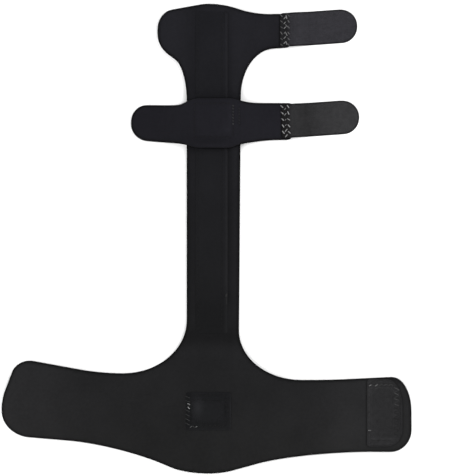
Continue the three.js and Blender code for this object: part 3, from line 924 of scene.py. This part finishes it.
NOISE_ROUGHNESS = 0.6
NOISE_LOW = 0.3  # most of a noise's values lie between these two
NOISE_HIGH = 0.7
WAVE_RATE = 10  # a wave of scale 1 repeats every pi over this


class Finish:
    """A material's node tree, with short ways to add and join nodes."""

    def __init__(self, name, **sockets):
        self.material = bpy.data.materials.new(name)
        self.material.use_nodes = True
        self.tree = self.material.node_tree
        self.shader = self.tree.nodes["Principled BSDF"]
        for socket, value in sockets.items():
            self.shader.inputs[socket.replace("_", " ")].default_value = value
        self.place = self.add("ShaderNodeTexCoord").outputs["Object"]

    def add(self, kind, settings=None, **sockets):
        """A node with its settings and socket values. A value that is a socket is joined."""
        node = self.tree.nodes.new(kind)
        for setting, value in (settings or {}).items():
            setattr(node, setting, value)
        for socket, value in sockets.items():
            self.put(node.inputs[socket.replace("_", " ")], value)
        return node

    def put(self, target, value):
        """Joins a socket to a target, or sets a plain value on it."""
        if isinstance(value, bpy.types.NodeSocket):
            self.tree.links.new(value, target)
        else:
            target.default_value = value

    def noise(self, size, detail=2.0):
        """Noise whose features are about size across."""
        made = self.add(
            "ShaderNodeTexNoise", Vector=self.place, Scale=1 / size, Detail=detail,
            Roughness=NOISE_ROUGHNESS,
        )
        return made.outputs["Fac"]

    def ribs(self, spacing, direction, wobble=0.0):
        """Ribs that repeat at a spacing along X or Y."""
        made = self.add(
            "ShaderNodeTexWave",
            {"wave_type": "BANDS", "bands_direction": direction, "wave_profile": "SIN"},
            Vector=self.place, Scale=math.pi / (WAVE_RATE * spacing), Distortion=wobble,
            Detail=1.0, Detail_Scale=1.0,
        )
        return made.outputs["Fac"]

    def math(self, operation, first, second):
        """One of Blender's sums on two values."""
        node = self.add("ShaderNodeMath", {"operation": operation})
        self.put(node.inputs[0], first)
        self.put(node.inputs[1], second)
        return node.outputs[0]

    def times(self, colour, other):
        """One colour times another."""
        node = self.add("ShaderNodeVectorMath", {"operation": "MULTIPLY"})
        self.put(node.inputs[0], colour)
        self.put(node.inputs[1], other)
        return node.outputs[0]

    def kept(self, name):
        """The number that a mesh keeps at each point under a name."""
        return self.add("ShaderNodeAttribute", {"attribute_name": name}).outputs["Fac"]

    def ramp(self, share, *stops):
        """A colour for each share, from (position, colour) stops."""
        node = self.add("ShaderNodeValToRGB", Fac=share)
        elements = node.color_ramp.elements
        for element, (position, colour) in zip(elements, stops):
            element.position = position
            element.color = (*colour, 1)
        for position, colour in stops[2:]:
            elements.new(position).color = (*colour, 1)
        return node.outputs["Color"]

    def wear(self, colour, bump=None, depth=None, strength=None):
        """Joins a colour to the shader, and a bump height with its depth and strength."""
        self.tree.links.new(colour, self.shader.inputs["Base Color"])
        if bump is not None:
            node = self.add("ShaderNodeBump", Height=bump, Distance=depth, Strength=strength)
            self.tree.links.new(node.outputs["Normal"], self.shader.inputs["Normal"])
        return self.material


def shaded(finish, colour):
    """A colour times the painted light and shade kept at each point of the piece."""
    node = finish.add("ShaderNodeVectorMath", {"operation": "SCALE"}, Scale=finish.kept("shade"))
    finish.put(node.inputs[0], colour)
    return node.outputs[0]


def grey(level, tint=(1.0, 1.0, 1.0)):
    """A near-grey colour: a level times a tint."""
    return tuple(level * t for t in tint)


def two_tone(finish, share, dark, light, tint):
    """A tinted grey that goes from dark to light over the middle of a noise's range."""
    return finish.ramp(share, (NOISE_LOW, grey(dark, tint)), (NOISE_HIGH, grey(light, tint)))


# The knit's stitches, nap, mottle and large soft patches, and its tint, cooler towards the fingertip
KNIT_COLUMN = 0.42 * MM
KNIT_ROW = 0.3 * MM
KNIT_WOBBLE = 0.6
KNIT_SHARE = 0.45
NAP_SIZE = 0.35 * MM
MOTTLE_SIZE = 1.6 * MM
MOTTLE_SHARE = 0.45
PATCH_SIZE = 24 * MM
WRIST_TINT = (1.0, 1.0, 1.0)
FINGERTIP_TINT = (0.97, 0.96, 1.17)
TINT_START = -20 * MM
TINT_END = 190 * MM


def brushed_knit(name, dark, light, tint):
    """Neoprene's knitted facing, brushed to a low nap: fine columns of stitches broken up by
    noise, mottled at the size of a few stitches and again at the size of a coin. Its black is
    neutral at the wrist and turns a little cool towards the fingertip."""
    finish = Finish(
        name, Roughness=0.95, Specular_IOR_Level=0.046, Sheen_Weight=0.03, Sheen_Roughness=0.5
    )
    columns = finish.ribs(KNIT_COLUMN, "X", KNIT_WOBBLE)
    knit = finish.math("MULTIPLY", columns, finish.ribs(KNIT_ROW, "Y"))
    nap = finish.noise(NAP_SIZE, detail=3.0)
    mottle = finish.math("MULTIPLY", finish.noise(MOTTLE_SIZE, detail=3.0), MOTTLE_SHARE)
    patches = finish.math("MULTIPLY", finish.noise(PATCH_SIZE), 1 - MOTTLE_SHARE)
    height = finish.math("ADD", finish.math("MULTIPLY", knit, KNIT_SHARE), nap)
    colour = two_tone(finish, finish.math("ADD", mottle, patches), dark, light, tint)
    up_finger = finish.add("ShaderNodeSeparateXYZ", Vector=finish.place).outputs["Y"]
    cool = finish.add(
        "ShaderNodeMapRange", Value=up_finger, From_Min=TINT_START, From_Max=TINT_END
    ).outputs["Result"]
    cool_tint = finish.ramp(cool, (0.0, WRIST_TINT), (1.0, FINGERTIP_TINT))
    tinted_colour = finish.times(colour, cool_tint)
    return finish.wear(shaded(finish, tinted_colour), height, depth=0.12 * MM, strength=0.5)


PORE_SIZE = 0.22 * MM
PORE_LOW = 0.35
PORE_HIGH = 0.65


def cut_foam(name):
    """The foam between the two facings, matt black and full of fine pores."""
    finish = Finish(name, Roughness=1.0, Specular_IOR_Level=0.0)
    pores = finish.noise(PORE_SIZE)
    colour = finish.ramp(pores, (PORE_LOW, grey(0.0012)), (PORE_HIGH, grey(0.0035)))
    return finish.wear(colour, pores, depth=0.1 * MM, strength=0.6)


WARP = 0.5 * MM
WEFT = 0.4 * MM
FUZZ_SIZE = 0.2 * MM
TAPE_PATCH_SIZE = 2.2 * MM


def woven_tape(name, tint):
    """The ground of hook tape: a close plain weave of dull nylon."""
    finish = Finish(name, Roughness=0.8, Specular_IOR_Level=0.1)
    weave = finish.math("ADD", finish.ribs(WARP, "X"), finish.ribs(WEFT, "Y"))
    height = finish.math("ADD", weave, finish.noise(FUZZ_SIZE))
    uneven = finish.noise(TAPE_PATCH_SIZE, detail=3.0)
    colour = two_tone(finish, uneven, dark=0.019, light=0.029, tint=tint)
    return finish.wear(shaded(finish, colour), height, depth=0.07 * MM, strength=0.6)


TIP_SIZE = 0.8 * MM
TIP_SHARE = 0.6
WORN_SIZE = 5 * MM


def hook_nylon(name, tint):
    """Hooks of grey nylon, a little glossy, paler at some tips."""
    finish = Finish(name, Roughness=0.5, Specular_IOR_Level=0.25)
    tips = finish.math("MULTIPLY", finish.noise(TIP_SIZE, detail=1.0), TIP_SHARE)
    worn = finish.math("MULTIPLY", finish.noise(WORN_SIZE), 1 - TIP_SHARE)
    uneven = finish.math("ADD", tips, worn)
    colour = two_tone(finish, uneven, dark=0.046, light=0.084, tint=tint)
    return finish.wear(shaded(finish, colour))


FIBRE_SIZE = 0.12 * MM
# Each tone's grey, the two ends first
THREAD_GREYS = [
    (BLACK, 0.0045),
    (LIGHT, 0.19),
    (DARK, 0.022),
    (DULL, 0.042),
    (GREY, 0.07),
    (PALE, 0.115),
]


def sewing_thread(name):
    """Twisted thread whose tone comes from the tone attribute of each stitch."""
    finish = Finish(name, Roughness=0.7, Specular_IOR_Level=0.12)
    stops = [(tone, grey(level)) for tone, level in THREAD_GREYS]
    colour = finish.ramp(finish.kept("tone"), *stops)
    fibres = finish.noise(FIBRE_SIZE, detail=1.0)
    return finish.wear(colour, fibres, depth=0.05 * MM, strength=0.5)


# Everything on the floor

PLAIN_GREY = (1.0, 0.99, 1.05)
COOL_GREY = (1.0, 0.97, 1.15)
panel_knit = brushed_knit("panel_knit", dark=0.0064, light=0.0098, tint=(1.0, 1.0, 1.02))
strap_knit = brushed_knit("strap_knit", dark=0.0051, light=0.0073, tint=(1.0, 0.98, 1.1))
square_knit = brushed_knit("square_knit", dark=0.0054, light=0.0075, tint=(0.97, 1.0, 1.08))
sleeve_knit = brushed_knit("sleeve_knit", dark=0.0052, light=0.0073, tint=(0.99, 1.0, 1.02))
foam = cut_foam("cut_foam")
tape = woven_tape("woven_tape", PLAIN_GREY)
cool_tape = woven_tape("cool_woven_tape", COOL_GREY)
nylon = hook_nylon("hook_nylon", PLAIN_GREY)
cool_nylon = hook_nylon("cool_hook_nylon", COOL_GREY)
thread = sewing_thread("sewing_thread")

NO_RIM = Rim(0.0, 1.0 * MM, 0.0)
# Painted shade along a tape's rim
TAPE_RIM = Rim(0.85, 0.95 * MM, 0.0)
# The panel's painted light and shade: painted shade at its rim, paler towards the band's two ends,
# darker along the spine's sides and in a band across the sleeve's sloping lower end, and a thin
# painted shadow beside the sleeve's bead
PANEL_MARKS = Marks(
    Rim(0.92, 1.0 * MM, 0.0),
    [
        Spot(PANEL_LOW.x, 5 * MM, 32 * MM, 60 * MM, 0.4),
        Spot(PANEL_LOW.x + 53 * MM, 0, 14 * MM, 60 * MM, -0.06),
        Spot(PANEL_HIGH.x - 36 * MM, 0, 14 * MM, 60 * MM, 0.2),
        Spot(PANEL_HIGH.x - 10 * MM, 0, 30 * MM, 60 * MM, 0.38),
        Spot(18 * MM, 0, 8 * MM, 40 * MM, 0.05),
        Spot(0, 85 * MM, 40 * MM, 55 * MM, -0.26),
        Spot(SLEEVE_LOW.x - 2.5 * MM, 95 * MM, 3 * MM, 60 * MM, -0.11),
        Spot(SLEEVE_HIGH.x + 4 * MM, 95 * MM, 2.5 * MM, 60 * MM, 0.1),
        Spot(-18 * MM, 193 * MM, 10 * MM, 14 * MM, 0.12),
        Spot(-11 * MM, 169 * MM, 7 * MM, 9 * MM, -0.17),
        Spot(0, 38.5 * MM, 30 * MM, 5.5 * MM, -0.3),
        Spot(0, 31 * MM, 25 * MM, 4 * MM, 0.08),
        Spot(0, 12 * MM, 30 * MM, 22 * MM, -0.07),
        Spot(0, PANEL_LOW.y + 14 * MM, 30 * MM, 12 * MM, -0.05),
        Spot(SLEEVE_MIDDLE, 185 * MM, 14 * MM, 30 * MM, -0.12),
        Spot(SLEEVE_HIGH.x + 1.7 * MM, 130 * MM, 1.2 * MM, 90 * MM, -0.15),
        Spot(SLEEVE_LOW.x, 192 * MM, 4 * MM, 22 * MM, -0.12),
    ],
    [],
)
# The sleeve's painted shade towards its lower end and in its seams' grooves, and a painted highlight
# along its rolled bead
SLEEVE_MARKS = Marks(
    NO_RIM,
    [
        Spot(0, SLEEVE_LOW.y, 30 * MM, 24 * MM, -0.26),
        Spot(0, SLEEVE_HIGH.y, 30 * MM, 40 * MM, 0.06),
        Spot(SLEEVE_HIGH.x - 0.5 * MM, 0, 1.1 * MM, 300 * MM, 0.4),
    ],
    SLEEVE_SEAMS,
)
# The strap's painted shade at its rim, weaker over the spine, in its creases and its seams' grooves;
# paler towards its right end, with painted highlights beside its right-hand seams and a pale painted
# line along its lower edge
STRAP_MARKS = Marks(
    Rim(0.92, 1.0 * MM, 0.7),
    [
        Spot(STRAP_HIGH.x, 148 * MM, 40 * MM, 40 * MM, 0.3),
        Spot(STRAP_HIGH.x - 32.0 * MM, STRAP_HIGH.y - 9 * MM, 1.2 * MM, 7 * MM, 0.2),
        Spot(STRAP_HIGH.x - 33.5 * MM, STRAP_LOW.y + 9.5 * MM, 2.0 * MM, 1.6 * MM, 0.22),
        Spot(SLEEVE_MIDDLE, 148 * MM, 12 * MM, 40 * MM, -0.04),
        Spot(SLEEVE_MIDDLE, STRAP_LOW.y + 3.7 * MM, 11 * MM, 2.0 * MM, -0.24),
        Spot(SLEEVE_MIDDLE, STRAP_LOW.y + 1.0 * MM, 11 * MM, 1.0 * MM, 0.08),
    ],
    STRAP_SEAMS,
)
# The top tab's painted shade at its rim and over its sewn end, between the stitches
TOP_TAPE_MARKS = Marks(
    TAPE_RIM, [Spot(TOP_TAB_LOW.x + 2.3 * MM, 198 * MM, 3.2 * MM, 40 * MM, -0.8)], []
)
# The middle tab's painted shade at its rim and over its sewn end; darker near its root and paler
# towards its tip, painted light and shade for how light falls on its bend
MIDDLE_TAPE_MARKS = Marks(
    TAPE_RIM,
    [
        Spot(MIDDLE_TAB_LOW.x + 1.8 * MM, 150 * MM, 3.2 * MM, 40 * MM, -0.85),
        Spot(MIDDLE_TAB_LOW.x + 12.5 * MM, 150 * MM, 6 * MM, 40 * MM, -0.3),
        Spot(MIDDLE_TAB_HIGH.x, 150 * MM, 16 * MM, 40 * MM, 0.14),
    ],
    [],
)
# The hook patch's painted shade towards its rim and in its seams' grooves, a painted highlight along
# its left edge, and the patch darker as a whole
PATCH_TAPE_MARKS = Marks(
    Rim(0.36, 2.0 * MM, 0.0),
    [
        Spot(90 * MM, 0, 40 * MM, 60 * MM, -0.39),
        Spot(PATCH_LOW.x + 0.7 * MM, 0, 0.8 * MM, 60 * MM, 0.15),
    ],
    PATCH_SEAMS,
)
# The square's painted highlight on its bulge, painted shade along its top and bottom seams and in
# their grooves, and a painted highlight along its right edge
SQUARE_MARKS = Marks(
    NO_RIM,
    [
        Spot(SQUARE_LOW.x + 6.2 * MM, SQUARE_HIGH.y - 7.4 * MM, 2.2 * MM, 4.4 * MM, 0.75),
        Spot(SQUARE_LOW.x + 8.0 * MM, SQUARE_HIGH.y - 7.4 * MM, 5.0 * MM, 6.0 * MM, 0.08),
        Spot(SQUARE_LOW.x + 12 * MM, SQUARE_HIGH.y - 1.8 * MM, 30 * MM, 2.4 * MM, -0.15),
        Spot(SQUARE_LOW.x + 12 * MM, SQUARE_LOW.y + 4.2 * MM, 30 * MM, 1.4 * MM, -0.12),
        Spot(SQUARE_HIGH.x - 0.2 * MM, 0, 0.5 * MM, 9 * MM, 0.5),
    ],
    SQUARE_SEAMS,
)

panel = soft_sheet(
    "neoprene_panel", soft_outline("base_panel"), floor_level, panel_top, NEOPRENE_EDGE,
    PANEL_PITCH, [panel_knit, foam], PANEL_MARKS,
)
sleeve = sewn_cover(
    "sleeve_cover", SLEEVE_LOW, SLEEVE_HIGH, SLEEVE_CORNER, SLEEVE_COLUMNS, SLEEVE_ROWS,
    over_panel, sleeve_top, sleeve_knit, SLEEVE_MARKS,
)
strap = soft_sheet(
    "finger_strap", soft_outline("middle_strap"), strap_low, strap_top, NEOPRENE_EDGE,
    STRAP_PITCH, [strap_knit, foam], STRAP_MARKS,
)
square = sewn_cover(
    "wrist_square", SQUARE_LOW, SQUARE_HIGH, SQUARE_CORNER, SQUARE_COLUMNS, SQUARE_ROWS,
    over_panel, square_top, square_knit, SQUARE_MARKS,
)

fill_out(square, free_to_swell(square), SQUARE_PRESSURE, SQUARE_GIVE)

top_tape_low, top_tape_high = tape_on_end("top_hook_tab", TOP_TAB_LOW, panel_top)
middle_tape_low, middle_tape_high = tape_on_end("middle_hook_tab", MIDDLE_TAB_LOW, strap_top)
TOP_LOOP = soft_outline("top_hook_tab")
MIDDLE_LOOP = soft_outline("middle_hook_tab")
PATCH_LOOP = soft_outline("wrist_hook_patch")
top_tape = soft_sheet(
    "top_tab_tape", TOP_LOOP, top_tape_low, top_tape_high, TAPE_EDGE, TAPE_PITCH, [cool_tape],
    TOP_TAPE_MARKS,
)
middle_tape = soft_sheet(
    "middle_tab_tape", MIDDLE_LOOP, middle_tape_low, middle_tape_high, TAPE_EDGE, TAPE_PITCH,
    [tape], MIDDLE_TAPE_MARKS,
)
patch_tape = soft_sheet(
    "wrist_patch_tape", PATCH_LOOP, over_panel, patch_top, TAPE_EDGE, TAPE_PITCH, [tape],
    PATCH_TAPE_MARKS,
)


def past_stitches(low):
    """Keeps hooks off the sewn end of a tab."""
    return lambda x, y: x > low.x + TAB_SEAT + LAYER_GAP


def clear_of_seams(seams):
    """Keeps hooks off a sewn border."""

    def clear(x, y):
        gaps = [path_distance(x, y, seam.path)[0] for seam in seams]
        return np.min(gaps, axis=0) > HOOK_CLEAR

    return clear


top_hooks = hook_field(
    "top_tab_hooks", TOP_LOOP, top_tape_high, past_stitches(TOP_TAB_LOW), cool_nylon,
    TOP_TAPE_MARKS,
)
middle_hooks = hook_field(
    "middle_tab_hooks", MIDDLE_LOOP, middle_tape_high, past_stitches(MIDDLE_TAB_LOW), nylon,
    MIDDLE_TAPE_MARKS,
)
patch_hooks = hook_field(
    "wrist_patch_hooks", PATCH_LOOP, patch_top, clear_of_seams(PATCH_SEAMS), nylon,
    PATCH_TAPE_MARKS,
)

sleeve_thread = stitches("sleeve_stitches", SLEEVE_SEAMS + SLEEVE_TAILS, sleeve_top, thread)
strap_thread = stitches("strap_stitches", STRAP_SEAMS, strap_top, thread)
top_tab_thread = stitches(
    "top_tab_stitches", TOP_TAB_SEAMS,
    over_left_edge(TOP_TAB_LOW.x, panel_top, top_tape_high), thread,
)
middle_tab_thread = stitches(
    "middle_tab_stitches", MIDDLE_TAB_SEAMS,
    over_left_edge(MIDDLE_TAB_LOW.x, strap_top, middle_tape_high), thread,
)
patch_thread = stitches("wrist_patch_stitches", PATCH_SEAMS, patch_top, thread)
square_thread = stitches(
    "square_stitches", SQUARE_SEAMS, over_left_edge(SQUARE_LOW.x, panel_top, square_top), thread
)

# What each piece stands for, and the name of its finish
Dressing = namedtuple("Dressing", "piece node slot")
DRESSINGS = [
    Dressing(panel, "base_panel", "neoprene"),
    Dressing(sleeve, "stay_sleeve", "sleeve_cloth"),
    Dressing(strap, "middle_strap", "strap_neoprene"),
    Dressing(square, "centre_patch", "patch_cloth"),
    Dressing(top_tape, "top_hook_tab", "hook_tape"),
    Dressing(middle_tape, "middle_hook_tab", "hook_tape"),
    Dressing(patch_tape, "wrist_hook_patch", "hook_tape"),
    Dressing(top_hooks, None, "hook_tape"),
    Dressing(middle_hooks, None, "hook_tape"),
    Dressing(patch_hooks, None, "hook_tape"),
    Dressing(sleeve_thread, None, "sleeve_cloth"),
    Dressing(strap_thread, None, "strap_neoprene"),
    Dressing(top_tab_thread, None, "hook_tape"),
    Dressing(middle_tab_thread, None, "hook_tape"),
    Dressing(patch_thread, None, "hook_tape"),
    Dressing(square_thread, None, "patch_cloth"),
]
for dressing in DRESSINGS:
    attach(dressing.piece, "root")
    if dressing.node:
        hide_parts(dressing.node)

# Stage

FLOOR_SIZE = 6.0
FLOOR_COLOUR = (0.86, 0.86, 0.86, 1)
WORLD_STRENGTH = 0.78
SOFTBOX_SIZE = 0.7
LIGHT_AIM = Vector((0.0, 0.09, 0.0))

floor_mesh = mesh_object(
    "floor",
    np.array([[-1, -1, 0], [1, -1, 0], [1, 1, 0], [-1, 1, 0]]) * FLOOR_SIZE / 2,
    [np.array([[0, 1, 2, 3]])],
    [Finish("pale_floor", Base_Color=FLOOR_COLOUR, Roughness=0.9).material],
)

world = bpy.data.worlds.new("studio")
world.use_nodes = True
sky = world.node_tree.nodes["Background"]
sky.inputs["Color"].default_value = (1, 1, 1, 1)
sky.inputs["Strength"].default_value = WORLD_STRENGTH
bpy.context.scene.world = world


def softbox(name, place, power):
    """A square area light aimed at the middle of the splint."""
    light = bpy.data.lights.new(name, "AREA")
    light.shape = "SQUARE"
    light.size = SOFTBOX_SIZE
    light.energy = power
    lamp = bpy.data.objects.new(name, light)
    lamp.location = place
    lamp.rotation_euler = (LIGHT_AIM - Vector(place)).to_track_quat("-Z", "Y").to_euler()
    bpy.context.scene.collection.objects.link(lamp)


softbox("key_softbox", (0.75, 0.55, 0.8), 11)
softbox("left_softbox", (-0.85, 0.0, 0.7), 7.8)
softbox("low_softbox", (0.1, -0.85, 0.7), 5.9)

bpy.context.scene.view_settings.view_transform = "Standard"

# The photograph's view, from straight above: its height in pixels, the real size of a pixel at
# the widest level of the panel's edge, and the splint's point in its middle
PHOTO_HEIGHT = 475
PIXEL = 0.516 * MM
VIEW_CENTRE = (5.8 * MM, 89.5 * MM)
LENS = 200
SENSOR = 36
camera = bpy.data.cameras.new("camera")
camera.lens = LENS
camera.sensor_width = SENSOR
eye = bpy.data.objects.new("camera", camera)
eye.location = (*VIEW_CENTRE, PHOTO_HEIGHT * PIXEL * LENS / SENSOR + PANEL_HIGH.z / 2)
bpy.context.scene.collection.objects.link(eye)
bpy.context.scene.camera = eye
